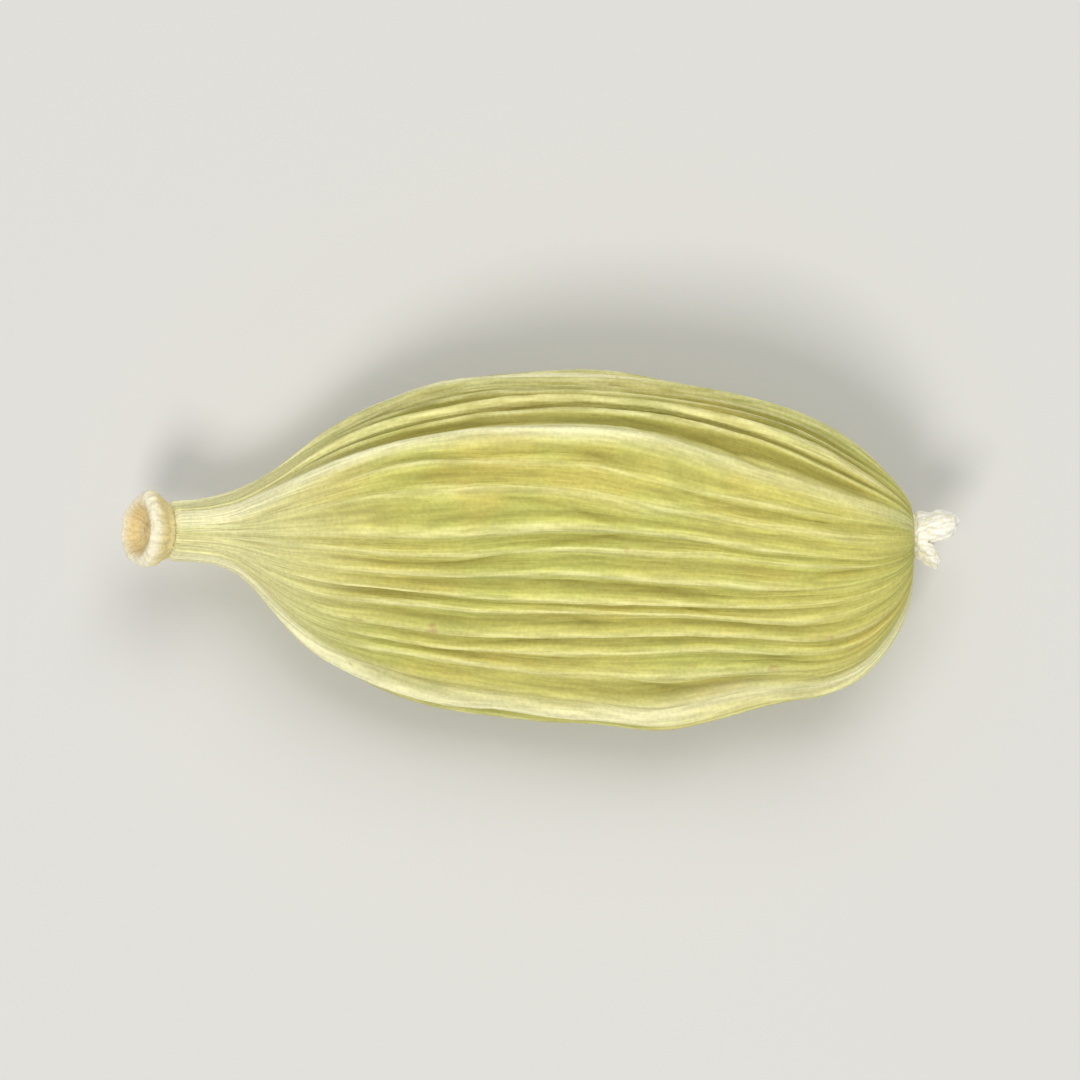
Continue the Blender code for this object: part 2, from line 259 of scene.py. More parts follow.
# Stub of the stalk, as stations and radii from the hollow over the rim to the root
STUB_OUTLINE = (
    (0.30 * MM, 0.20 * MM),
    (0.24 * MM, 0.40 * MM),
    (0.08 * MM, 0.52 * MM),
    (0.00 * MM, 0.66 * MM),
    (0.06 * MM, 0.76 * MM),
    (0.22 * MM, 0.79 * MM),
    (0.40 * MM, 0.73 * MM),
    (0.56 * MM, 0.64 * MM),
    (0.70 * MM, 0.57 * MM),
    (STUB_LENGTH, 0.53 * MM),
)
STUB_CORE = ((0.20 * MM, 0.02 * MM), (0.23 * MM, 0.09 * MM))  # in the scar's middle
STUB_ROOT = ((0.76 * MM, 0.48 * MM), (1.05 * MM, 0.42 * MM))  # hidden in the neck
COLLAR_WOBBLE = (0.05, 0.04)
COLLAR_FROM = 0.5 * MM
COLLAR_FLARE = 0.3 * MM
STUB_ROWS = 110
ROUND_COLUMNS = 144  # of the stub and of the flower's ring

# Where the stub's parts begin and end, as shares of its outline
PITS_BEGIN = (0.0, 0.05)
SCAR_ENDS = (0.34, 0.44)
RIM_SPAN = ((0.3, 0.38), (0.52, 0.66))
STALK_ENDS = (0.85, 0.93)
STALK_SPAN = ((0.42, 0.55), STALK_ENDS)

# Noise of the stub: the sizes of its waves, on a stub of radius 1 and length 6 but for
# the pits, and its seed
STALK_RIDGES = ((1 / 5.5, 1 / 5.5, 2.0), 51)
STALK_LUMPS = ((1 / 2.6, 1 / 2.6, 1 / 1.6), 52)
SCAR_RAYS = ((1 / 6.0, 1 / 6.0, 1 / 1.2), 55)
SCAR_PITS = (0.07 * MM, 53)
ROUND_STUB_LENGTH = 6.0

# Dried flower: a low ring that carries three withered lobes, each with its length,
# half thickness, lean from the centre line and the angle that it leans to
RING_RADIUS = 0.46 * MM
RING_HEIGHT = 0.1 * MM
RING_OUTLINE = ((-0.7, 0.6), (-0.6, 0.9), (0.1, 1.0), (0.7, 0.97), (1.0, 0.7))
RING_ROWS = 40
LOBES = (
    (0.90 * MM, 0.36 * MM, math.radians(12.0), math.radians(40.0)),
    (0.58 * MM, 0.35 * MM, math.radians(38.0), math.radians(174.0)),
    (0.46 * MM, 0.30 * MM, math.radians(34.0), math.radians(285.0)),
)
LOBE_ROOT = 0.06
LOBE_OFFSET = 0.2 * MM
LOBE_LIFT = 0.06 * MM
LOBE_ROUND = 4.0
LOBE_SECTION = (0.8, 1.15)
LOBE_FOLDS = 5
LOBE_FOLD_DEPTH = 0.2  # as a share of the half thickness
LOBE_FOLD_WIDTH = 0.3
LOBE_ROWS = 60
LOBE_COLUMNS = 120

# The flower's parts are melted into one skin and folded by noise: its sizes and seed
FLOWER_VOXEL = 0.018 * MM
FLOWER_RELAX = (0.5, 4)
PETAL_FOLDS = ((0.5 * MM, 0.16 * MM, 0.16 * MM), 61)
PETAL_CRUMPLES = (0.09 * MM, 62)
PETAL_LUMPS = (0.34 * MM, 63)
SMALL_PETAL_LUMPS = (0.18 * MM, 64)
PETAL_RISE = 0.9  # over a fold's bottom, at most
# The cream painted into a fold's bottom is painted shade
FOLD_REACH = 0.35  # up to which a fold is cream

# Materials: how far noises are moved apart, and how deep red, green and blue light go
PATTERN_SHIFT = 5.3
GLOW_SPREAD = (1.0, 0.8, 0.4)

# Stage. Each lamp has its name, place, size, power in watts and linear colour.
FLOOR_SIZE = 0.6
LAMPS = (
    ("key", (-0.06, -0.17, 0.28), 0.1, 0.5, (1.0, 0.98, 0.95)),
    ("top", (0.05, 0.16, 0.30), 0.24, 0.5, (1.0, 0.99, 0.97)),
)
SKY_COLOUR = (0.93, 0.95, 1.0, 1.0)
SKY_STRENGTH = 0.4
LENS = 150.0
SENSOR = 36.0
NEAR_CLIP = 0.01  # as shares of the camera's distance
FAR_CLIP = 100.0


def linear(code):
    """The linear colour of an sRGB hex value."""
    parts = [int(code[place : place + 2], 16) / 255.0 for place in (1, 3, 5)]
    return tuple(
        part / 12.92 if part <= 0.04045 else ((part + 0.055) / 1.055) ** 2.4
        for part in parts
    )


def metres(name, description, default):
    """A property for a real length in metres."""
    return FloatProperty(
        name=name, description=description, default=default, min=0.0, unit="LENGTH", precision=5
    )


def hex_colour(name, description, default):
    """A property for a colour, given as sRGB hex."""
    return FloatVectorProperty(
        name=name,
        description=description,
        default=linear(default),
        min=0.0,
        max=1.0,
        subtype="COLOR",
    )


class HuskSettings(bpy.types.PropertyGroup):
    keel_rise: metres("Keel height", "Height of the three raised seams", 0.27 * MM)
    rib_rise: metres("Rib height", "Height of the lengthwise ribs", 0.14 * MM)
    rib_jitter: metres("Rib jitter", "How far a rib wavers sideways", 0.09 * MM)
    vein_rise: metres("Vein height", "Height of the fine veins between ribs", 0.035 * MM)
    wrinkle_rise: metres("Wrinkle height", "Height of the wrinkles that part and meet", 0.04 * MM)
    crease_depth: metres("Crease depth", "Depth of the lengthwise creases", 0.065 * MM)
    pucker_rise: metres("Pucker height", "Height of the cross puckers", 0.02 * MM)
    face: hex_colour("Face", "Most of the husk's skin", "#D6CF6F")
    green: hex_colour("Greener skin", "Greener areas of the skin", "#C9CC6A")
    yellow: hex_colour("Yellower skin", "Yellower areas of the skin", "#DFCB68")
    # Rib crest colour: partly the pale veins, partly a painted highlight on raised crests
    crest: hex_colour("Rib crest", "Crests of the ribs", "#EFE9A4")
    # Groove colour: painted shade in the grooves and hollows
    groove: hex_colour("Groove", "Bottom of the grooves", "#9A8F3A")
    # Keel colour: the pale seams and neck, and also the painted highlight along the far rim
    keel: hex_colour("Keel", "The three seams and the neck", "#FFFAC8")
    stain: hex_colour("Stain", "Small tan specks and stains", "#B98F5B")


class StalkSettings(bpy.types.PropertyGroup):
    fibre_rise: metres("Fibre height", "Height of the stalk's fibres", 0.03 * MM)
    stalk: hex_colour("Stalk", "Outside of the stalk", "#EEDC9E")
    rim: hex_colour("Rim", "Rim of the hollow scar", "#FBF3D2")
    # Scar colour: the scar's own tan, laid on more in its deeper pits as painted shade
    hollow: hex_colour("Hollow", "Inside of the hollow scar", "#E2C68E")


class FlowerSettings(bpy.types.PropertyGroup):
    fold_depth: metres("Fold depth", "Depth of the folds in the lobes", 0.05 * MM)
    petal: hex_colour("Petal", "Withered flower", "#FFFCF0")
    # Fold colour: partly random cream patches, partly painted shade in the bottoms of the folds
    fold: hex_colour("Fold", "Folds of the withered flower", "#E6D9AE")


class StageSettings(bpy.types.PropertyGroup):
    floor: hex_colour("Floor", "Floor under the pod", "#DAD9D4")
    elevation: FloatProperty(
        name="Camera elevation",
        description="Angle of the camera above the horizon",
        default=math.radians(83.0),
        subtype="ANGLE",
    )
    share: FloatProperty(
        name="Share of the frame",
        description="Share of the picture's width that the pod fills",
        default=78.0,
        subtype="PERCENTAGE",
    )


def smooth_step(value, start, end):
    """0 before start, 1 after end, and a cubic between them that has no kinks."""
    share = np.clip((value - start) / (end - start), 0.0, 1.0)
    return share * share * (3.0 - 2.0 * share)


def smooth_span(value, rise, fall):
    """1 between a stretch where it rises from 0 and one where it falls back to 0."""
    return smooth_step(value, *rise) * (1.0 - smooth_step(value, *fall))


def soft_ramp(value, blend):
    """0 below zero and the value itself above it, rounded over the blend."""
    return blend * np.logaddexp(0.0, value / blend)


def at_least(least, share):
    """A share of 0 to 1, brought into the range from the least value to 1."""
    return least + (1.0 - least) * share


def bell(aside, width):
    """A bell curve: 1 in the middle, about a third at its width and 0 far aside."""
    return np.exp(-((aside / width) ** 2))


def turn_from(line, angle):
    """How far an angle is from a line's angle, the shorter way round."""
    return np.mod(angle - line + math.pi, TURN) - math.pi


def soft_noise(points, sizes, seed):
    """Smooth random numbers, mostly between -1 and 1, in waves of about these sizes.
    Each corner of a lattice with cells of these sizes gets a random slope from a seeded
    table. Each corner's slope gives a value at the point, and the eight values are
    blended with a smooth step."""
    draw = np.random.default_rng(seed)
    order = draw.permutation(256)
    slopes = draw.normal(size=(256, 3))
    slopes /= np.linalg.norm(slopes, axis=1)[:, None]
    points = points / sizes
    cell = np.floor(points).astype(int)
    part = points - cell
    share = part**3 * (part * (part * 6.0 - 15.0) + 10.0)
    total = 0.0
    for corner in itertools.product((0, 1), repeat=3):
        x, y, z = np.moveaxis(cell + corner, -1, 0)
        drawn = order[(order[(order[x % 256] + y) % 256] + z) % 256]
        value = np.sum(slopes[drawn] * (part - corner), axis=-1)
        total = total + value * np.prod(np.where(corner, share, 1.0 - share), axis=-1)
    return 1.6 * total


def folds(points, sizes, seed, width):
    """1 along the lines where noise changes its sign, falling to 0 beside them: sharp
    lines that wander, part and meet as wrinkles do."""
    return np.exp(-np.abs(soft_noise(points, sizes, seed)) / width)


def smooth_path(points, count):
    """A smooth curve through the points, read at even steps: between two points it is
    the cubic that leaves each along the line between that point's own neighbours."""
    points = np.array(points)
    before, after = 2 * points[0] - points[1], 2 * points[-1] - points[-2]
    padded = np.concatenate([[before], points, [after]])
    run = np.linspace(0.0, len(points) - 1.0, count)
    index = np.minimum(run.astype(int), len(points) - 2)
    part = (run - index)[:, None]
    a, b, c, d = (padded[index + step] for step in range(4))
    square = (2 * a - 5 * b + 4 * c - d) * part**2
    cube = (3 * b - a - 3 * c + d) * part**3
    return 0.5 * (2 * b + (c - a) * part + square + cube)


def on_cylinder(angle, radius, height):
    """Points at an angle and height on a cylinder of a radius."""
    x, y = radius * np.cos(angle), radius * np.sin(angle)
    return np.stack(np.broadcast_arrays(x, y, height), axis=-1)


def centre_line(station):
    """X, Y, height and slope of the line that the sections stand across: an arc at the
    neck, then straight, but for a slight bend aside at the tip."""
    radius = NECK_ARC / NECK_TURN
    slope = np.clip(NECK_ARC - station, 0.0, NECK_ARC) / radius
    x = NECK_ARC - radius * np.sin(slope) + np.clip(station - NECK_ARC, 0.0, None)
    y = -TIP_ASIDE * smooth_step(station, *TIP_BEND)
    return x, y, radius * (1.0 - np.cos(slope)), slope


def on_sections(station, angle, radius):
    """Points at an angle and radius on the sections, with the whole pod tilted by its
    pitch and moved to where it lies."""
    x, y, height, slope = centre_line(station)
    up = radius * np.sin(angle)
    x = x + up * np.sin(slope) - PIVOT
    height = height + up * np.cos(slope)
    along = x * math.cos(PITCH) - height * math.sin(PITCH) + PIVOT - MIDDLE[0]
    across = y + radius * np.cos(angle) - MIDDLE[1]
    above = x * math.sin(PITCH) + height * math.cos(PITCH) + REST_DEPTH
    return np.stack(np.broadcast_arrays(along, across, above), axis=-1)


def outward(points):
    """Unit normals of a grid whose columns run round: the cross product of its steps
    from column to column and from row to row."""
    across = np.roll(points, -1, axis=1) - np.roll(points, 1, axis=1)
    along = np.gradient(points, axis=0)
    normal = np.cross(across, along)
    return normal / np.maximum(np.linalg.norm(normal, axis=-1, keepdims=True), 1e-15)


def with_middles(values):
    """A grid's values in the order of its vertices, each fan's middle point last."""
    flat = values.reshape(-1, *values.shape[2:])
    return np.concatenate([flat, values[[0, -1]].mean(axis=1)])


def add_mark(mesh, name, values):
    """Numbers or vectors at the mesh's points, for its material to read."""
    is_vector = values.ndim == 2
    kind, field = ("FLOAT_VECTOR", "vector") if is_vector else ("FLOAT", "value")
    mark = mesh.attributes.new(name, kind, "POINT")
    mark.data.foreach_set(field, values.astype(np.float32).ravel())


def closed_surface(grid):
    """Vertices, four-sided and three-sided faces of a grid whose columns run round and
    whose rows run towards the tip. A fan to its middle point closes each end."""
    rows, columns = grid.shape[:2]
    column = np.arange(columns)
    beside = (column + 1) % columns
    first = np.arange(rows - 1)[:, None] * columns
    corners = (first + column, first + beside, first + columns + beside, first + columns + column)
    quads = np.stack(corners, axis=-1).reshape(-1, 4)
    last = (rows - 1) * columns
    middle = np.full(columns, rows * columns)
    start_fan = np.stack([middle, beside, column], axis=-1)
    end_fan = np.stack([middle + 1, last + column, last + beside], axis=-1)
    return with_middles(grid), quads, np.concatenate([start_fan, end_fan])


def closed_mesh(name, grid, marks):
    """A mesh of a closed surface. Marks are its attributes: numbers or vectors at each
    point of the grid."""
    vertices, quads, fans = closed_surface(grid)
    mesh = bpy.data.meshes.new(name)
    mesh.from_pydata(vertices.tolist(), [], quads.tolist() + fans.tolist())
    for mark, values in marks.items():
        add_mark(mesh, mark, with_middles(values))
    mesh.shade_smooth()
    return mesh


def add_node(tree, kind, inputs=(), output=0, **settings):
    """Adds a shader node and gives back one of its outputs. Inputs are values, or other
    nodes' outputs to link, in the order of its sockets or under their names."""
    node = tree.nodes.new("ShaderNode" + kind)
    for name, value in settings.items():
        setattr(node, name, value)
    for socket, value in inputs.items() if isinstance(inputs, dict) else enumerate(inputs):
        if isinstance(value, bpy.types.NodeSocket):
            tree.links.new(value, node.inputs[socket])
        else:
            node.inputs[socket].default_value = value
    return node.outputs[output] if len(node.outputs) else None


def new_material(name):
    """An empty material, and the function that adds nodes to it."""
    material = bpy.data.materials.new(name)
    material.use_nodes = True
    material.node_tree.nodes.clear()
    return material, functools.partial(add_node, material.node_tree)


def dry_tissue(name, settings, patterns, layers, shades, relief, finish):
    """A material for dry plant tissue, built up from tables.

    A pattern is a noise texture: what it lies on, which is a mark of the mesh or the
    piece itself, the sizes of its waves in millimetres, and its detail. A layer covers
    what is below it with one of the settings' colours, where a pattern rises from its
    first value to its second, with a strength from the third to the fourth, times a
    mark of the mesh. The first row is the ground. Shades lighten or darken by a factor
    in the same way. The relief's sum of patterns is raised by the bump."""
    material, add = new_material(name)
    noise = {}
    for number, (pattern, space, sizes, detail) in enumerate(patterns):
        if space == "piece":
            place, unit = add("TexCoord", output="Object"), MM
        else:
            place, unit = add("Attribute", output="Vector", attribute_name=space), 1.0
        scale = [1.0 / (size * unit) for size in sizes]
        shift = (PATTERN_SHIFT * number,) * 3
        moved = add("Mapping", {"Vector": place, "Location": shift, "Scale": scale})
        noise[pattern] = add("TexNoise", {"Vector": moved, "Scale": 1.0, "Detail": detail})
    ground, *layers = layers
    tone = (*getattr(settings, ground), 1.0)
    for colour, mark, pattern, *limits in layers:
        share = add("MapRange", (noise[pattern], *limits), interpolation_type="SMOOTHSTEP")
        if mark:
            amount = add("Attribute", output="Fac", attribute_name=mark)
            share = add("Math", (share, amount), operation="MULTIPLY")
        cover = (*getattr(settings, colour), 1.0)
        tone = add("Mix", {0: share, 6: tone, 7: cover}, output=2, data_type="RGBA")
    value = 1.0
    for pattern, *limits in shades:
        factor = add("MapRange", (noise[pattern], *limits), interpolation_type="SMOOTHSTEP")
        value = add("Math", (value, factor), operation="MULTIPLY")
    tone = add("HueSaturation", {"Value": value, "Color": tone})
    height = 0.0
    for pattern, weight in relief:
        height = add("Math", (noise[pattern], weight, height), operation="MULTIPLY_ADD")
    bump = add("Bump", {"Height": height, "Strength": 1.0, "Distance": finish["depth"]})
    pattern, *limits = finish["roughness"]
    roughness = add("MapRange", (noise[pattern], *limits), interpolation_type="SMOOTHSTEP")
    shader = add(
        "BsdfPrincipled",
        {
            "Base Color": tone,
            "Roughness": roughness,
            "Normal": bump,
            "IOR": finish["ior"],
            "Subsurface Weight": finish["glow"],
            "Subsurface Radius": GLOW_SPREAD,
            "Subsurface Scale": finish["glow_depth"],
        },
    )
    add("OutputMaterial", {"Surface": shader})
    return material


def flank(station, fullest, start, blend, rise, power, root):
    """Half width of one flank: a neck, a shoulder that fills out exponentially, and an
    end rounded as a superellipse down to the tip."""
    run = soft_ramp(station - start, blend)
    wide = NECK_RADIUS + (fullest - NECK_RADIUS) * (1.0 - np.exp(-run / rise))
    past = np.clip((station - FULLEST) / (HUSK_END - FULLEST), 0.0, 1.0)
    end = (1.0 - past**power) ** root
    return TIP_RADIUS + (wide - TIP_RADIUS) * end


def half_width(station, angle, lip):
    """Half width at an angle, from the near flank's to the far flank's. The start is
    rounded to a lip as a quarter of a circle, and the end is drawn in a little."""
    far_share = 0.5 + 0.5 * np.cos(angle)
    size = flank(station, *NEAR_FLANK) * (1.0 - far_share)
    size = size + flank(station, *FAR_FLANK) * far_share
    size = LIP_RADIUS + (size - LIP_RADIUS) * np.sqrt(1.0 - (1.0 - lip) ** 2)
    return size * (1.0 - TIP_CLOSES * smooth_step(station, HUSK_END - TIP_CURL, HUSK_END))


def section_shape(station, angle):
    """How far the three-sided section stands out at an angle, as a share of the half
    width there: the root of a sum in which each face has a term of its own."""
    total = SECTION_LIMIT**-SECTION_POWER
    for facing, distance in (MAIN_FACE, BASE_FACE, FAR_FACE):
        towards = np.maximum(0.0, np.cos(angle - facing))
        total = total + (towards / distance) ** SECTION_POWER
    shape = total ** (-1.0 / SECTION_POWER) / SECTION_SIZE
    sided = smooth_step(station, *ROUND_UNTIL)
    start, share = ROUND_AGAIN
    sided = sided * (1.0 - share * smooth_step(station, start, HUSK_END))
    return 1.0 + (shape - 1.0) * sided


def rest_spot(station, angle):
    """1 over the flat spot on the underside, and round it a flat-topped bell curve."""
    along = (station - SPOT_STATION) / SPOT_REACH[0]
    aside = turn_from(BASE_FACE[0], angle) / SPOT_REACH[1]
    return np.exp(-((along**2 + aside**2) ** 2))


def swelling(station, angle):
    """Shallow dents and swellings of the dried skin, as three crossed waves."""
    lengthwise = np.sin(station / (1.15 * MM) + 2.0 * np.sin(angle + 0.4))
    spiral = np.sin(station / (2.6 * MM) + 3.0 * angle)
    crossing = np.sin(station / (0.8 * MM) - 4.0 * angle)
    inside = smooth_span(station, *SWELL_SPAN)
    return SWELL * inside * (lengthwise + 0.8 * spiral + 0.5 * crossing)


def edge_wave(station, angle):
    """The near keel's edge bulges and dips as a cosine wave towards the tip."""
    wave = np.cos(TURN * (station - EDGE_WAVE_CREST) / EDGE_WAVE_LENGTH)
    wave = wave * smooth_span(station, *EDGE_WAVE_SPAN)
    return EDGE_WAVE * wave * bell(angle - KEELS[1], EDGE_WAVE_WIDTH)


def even_stations(rows):
    """Stations at even distances over the skin, measured along a middle flank, so that
    rows are no further apart on the blunt tip than elsewhere."""
    run = 1.0 - np.linspace(1.0, 0.0, PATH_STEPS) ** 3
    station = HUSK_START + (HUSK_END - HUSK_START) * run
    radius = 0.5 * (flank(station, *NEAR_FLANK) + flank(station, *FAR_FLANK))
    steps = np.hypot(np.diff(station), np.diff(radius))
    distance = np.concatenate([[0.0], np.cumsum(steps)])
    return np.interp(np.linspace(0.0, distance[-1], rows), distance, station)[:, None]


def rib_numbers():
    """Every rib's number, counted round from the top keel, and which are keels."""
    number = np.arange(sum(RIB_STEPS))
    return number, np.isin(number, (0, RIB_STEPS[0], RIB_STEPS[0] + RIB_STEPS[1]))


def along_ribs(station, length, seed):
    """Noise that runs along each rib on its own, with waves of about that length."""
    number, _ = rib_numbers()
    points = np.broadcast_arrays(RIB_APART * number + 0.5, 0.5, station)
    return soft_noise(np.stack(points, axis=-1), (1.0, 1.0, length), seed)


def rib_angles(station, jitter):
    """Angle of every rib at each station, one row for each station. Ribs stand at even
    steps from keel to keel, less what each strays, wavers and jitters."""
    number, is_keel = rib_numbers()
    ends = (*KEELS[1:], KEELS[0] + TURN)
    even = []
    for first, last, steps in zip(KEELS, ends, RIB_STEPS):
        even.append(np.linspace(first, last, steps, endpoint=False))
    even = np.concatenate(even)
    stray = RIB_STRAY * np.sin(2.4 * number + 0.6)
    phase = 1.7 * np.sin(1.3 * number)
    waver = RIB_WAVER * np.sin(TURN * station / RIB_WAVER_LENGTH + phase)
    jitters = along_ribs(station, *JITTER_WAVES) * jitter / NEAR_FLANK[0]
    loose = np.where(is_keel, 0.25, 1.0)
    lean = KEEL_LEAN * smooth_step(station, KEEL_LEANS_FROM, HUSK_END)
    near_top = np.maximum(0.0, np.cos(even - KEELS[0])) ** 2
    return even + loose * (stray + waver) + jitters + lean * near_top


def rib_rises(station, rib_rise):
    """Height of every rib over its grooves at each station, none at the keels. Each has
    its own strength and fades out before the ends, but every fourth one reaches them."""
    number, is_keel = rib_numbers()
    middle, spread, added = STRONG_RIBS
    strength = np.repeat(FACE_STRENGTHS, RIB_STEPS) + 0.2 * np.sin(2.4 * number + 0.7)
    strength = strength + added * bell(number - middle, spread)
    falter = np.sin(TURN * station / RIB_FALTER_LENGTH + 2.1 * number)
    start = RIB_START[0] + RIB_START[1] * np.sin(1.7 * number)
    end = RIB_END[0] + RIB_END[1] * np.sin(2.9 * number + 1.0)
    rise = rib_rise * strength * (0.85 + 0.15 * falter)
    rise = rise * (1.0 + RIB_UNEVENNESS * along_ribs(station, *RIB_WAVES))
    rise = rise * smooth_step(station, start - RIB_FADE / 2.0, start + RIB_FADE)
    rise = rise * (1.0 - smooth_step(station, end - RIB_FADE, end + RIB_FADE))
    reaches = number % NECK_RIB_EVERY == 0
    rise = np.where(reaches, np.maximum(rise, NECK_RIB_RISE), rise)
    return np.where(is_keel, 0.0, rise)


def rib_parts():
    """Each column's share of the way from its rib to the next."""
    column = np.arange(sum(RIB_STEPS) * COLUMNS_PER_RIB)
    return (column % COLUMNS_PER_RIB) / COLUMNS_PER_RIB


def between_ribs(values, around=0.0):
    """Values given at the ribs, spread in even steps from each rib to the next. Round
    the whole husk they grow by the amount around."""
    rib = np.repeat(np.arange(values.shape[1]), COLUMNS_PER_RIB)
    part = rib_parts()
    closed = np.concatenate([values, values[:, :1] + around], axis=1)
    return closed[:, rib] * (1.0 - part) + closed[:, rib + 1] * part


def rib_crests():
    """Each column's place between the crests and the grooves, 1 on a rib and 0 halfway
    to the next: round troughs that meet in a narrow crest, rounded as a hyperbola."""
    top = math.hypot(1.0, CREST_ROUND)
    trough = np.hypot(np.sin(math.pi * rib_parts()), CREST_ROUND)
    return (top - trough) / (top - CREST_ROUND)


def smoothed_round(values, reach):
    """Values averaged over as many columns to each side as the reach."""
    return np.mean([np.roll(values, step, axis=1) for step in range(-reach, reach + 1)], axis=0)


def keel_ridges(station, angle, rib_lines, size, keel_rise):
    """The three keels' relief: along each keel's line a bell-shaped ridge of uneven
    height, less a lower and wider one for the moat that it stands in."""
    depth, width = KEEL_MOAT
    _, is_keel = rib_numbers()
    uneven = 1.0 + KEEL_UNEVENNESS * along_ribs(station, *KEEL_WAVES)
    sinking = smooth_step(station, KEEL_SINKS, HUSK_END)
    relief = 0.0
    for keel, loss in zip(np.flatnonzero(is_keel), KEEL_LOSSES):
        aside = turn_from(rib_lines[:, [keel]], angle) * size
        ridge = uneven[:, [keel]] * bell(aside, KEEL_WIDTH)
        ridge = ridge - depth * bell(aside, width * KEEL_WIDTH)
        relief = relief + ridge * (1.0 - loss * sinking)
    rise = NECK_KEEL_RISE + (keel_rise - NECK_KEEL_RISE) * smooth_step(station, *KEEL_FILLS)
    return rise * relief


def paleness(station, angle, rib_lines, size):
    """How pale the skin is: a bell across each keel's line, a bell across the band near the
    far rim that is a painted highlight, and the whole neck."""
    _, is_keel = rib_numbers()
    fading = smooth_step(station, *PALENESS_FADES)
    by_neck, further = KEEL_PALENESS
    strength = by_neck + (further - by_neck) * smooth_step(station, *KEEL_PALEST_UNTIL)
    keels = zip(np.flatnonzero(is_keel), KEEL_LINES, PALENESS_LOSSES, PALENESS_TURNS)
    pale = 0.0
    for keel, width, loss, turn in keels:
        aside = (turn_from(rib_lines[:, [keel]], angle) - turn * fading) * size
        pale = np.maximum(pale, strength * (1.0 - loss * fading) * bell(aside, width))
    # A painted highlight along the far rim, as a pale band
    rib, width, strength = FAR_RIM
    rim = strength * bell(turn_from(rib_lines[:, [rib]], angle) * size, width)
    pale = np.maximum(pale, rim * smooth_span(station, *FAR_RIM_SPAN))
    neck = NECK_PALENESS * (1.0 - smooth_step(station, *NECK_PALE_UNTIL))
    return np.clip(pale + neck, 0.0, 1.0)


def veins(station):
    """Narrow bell-shaped veins at three places between neighbouring ribs. Each wanders,
    and comes and goes along the pod."""
    part = rib_parts()
    total = 0.0
    for place, strength, wander_seed, gate_seed in VEINS:
        wander = between_ribs(along_ribs(station, VEIN_WANDER_LENGTH, wander_seed))
        comes = between_ribs(along_ribs(station, VEIN_GATE_LENGTH, gate_seed))
        vein = bell(part - place - VEIN_WANDER * wander, VEIN_WIDTH)
        total = total + strength * smooth_step(comes, *VEIN_GATE) * vein
    return total


def fine_relief(station, skin, settings):
    """What the dried skin adds to the solid's form: veins, wrinkles whose sharp crests
    part and meet, creases between them, and puckers across. All are weaker beyond the
    ribbed stretch, and creases and puckers on the ribs' crests too."""
    ribbed = smooth_span(station, *RIBBED_SPAN)
    trough = np.sin(math.pi * rib_parts())
    wrinkle = folds(skin, *WRINKLES) + 0.4 * folds(skin, *SMALL_WRINKLES) - 0.4
    crease = folds(skin, *CREASES) * at_least(CREASES_ON_CRESTS, trough)
    area = smooth_step(soft_noise(skin, *PUCKERED_AREAS), *PUCKERED_WHERE)
    pucker = soft_noise(skin, *PUCKERS) + 0.6 * soft_noise(skin, *SMALL_PUCKERS)
    pucker = pucker * at_least(PUCKERS_ON_CRESTS, trough * area)
    fine = settings.vein_rise * veins(station) * ribbed
    fine = fine + settings.wrinkle_rise * wrinkle * at_least(WRINKLES_BEYOND, ribbed)
    fine = fine - settings.crease_depth * crease * at_least(CREASES_BEYOND, ribbed)
    return fine + settings.pucker_rise * pucker * at_least(PUCKERS_BEYOND, ribbed)


def pale_lines(station):
    """The pale vein in each rib's crest, a bell that comes and goes along the pod, and
    the far face's bands, pale where they are above 0 and dark below it. In the colour, the
    dark bands are painted shade and the pale ones partly a painted highlight."""
    _, is_keel = rib_numbers()
    strength = np.where(is_keel, 0.0, np.repeat(LINE_STRENGTHS, RIB_STEPS))
    bands = np.concatenate([np.zeros(sum(RIB_STEPS[:2])), FAR_BANDS])
    uneven = 1.0 + LINE_UNEVENNESS * along_ribs(station, *LINE_WAVES)
    part = rib_parts()
    vein = bell(np.minimum(part, 1.0 - part), LINE_WIDTH)
    lines = between_ribs(strength * uneven) * vein + between_ribs(bands * uneven)
    return np.clip(lines, -1.0, 1.0) * smooth_span(station, *RIBBED_SPAN)


def crest_highlight_and_hollow_shade(height, lines):
    """How far each point is painted as a crest and how far as a hollow: the more of its
    height over its surroundings and of the pale lines, or of its depth and of the dark lines.
    What its height gives is a painted highlight on crests and painted shade in hollows."""
    contrast = between_ribs(np.repeat(FACE_PAINTED_LIGHT_CONTRASTS, RIB_STEPS)[None, :]) / MARK_HEIGHT
    height = (height - smoothed_round(height, COLUMNS_PER_RIB)) * contrast
    crest = np.clip(np.maximum(height, lines), 0.0, 1.0)
    return crest, np.clip(np.maximum(-height, -lines), 0.0, 1.0)


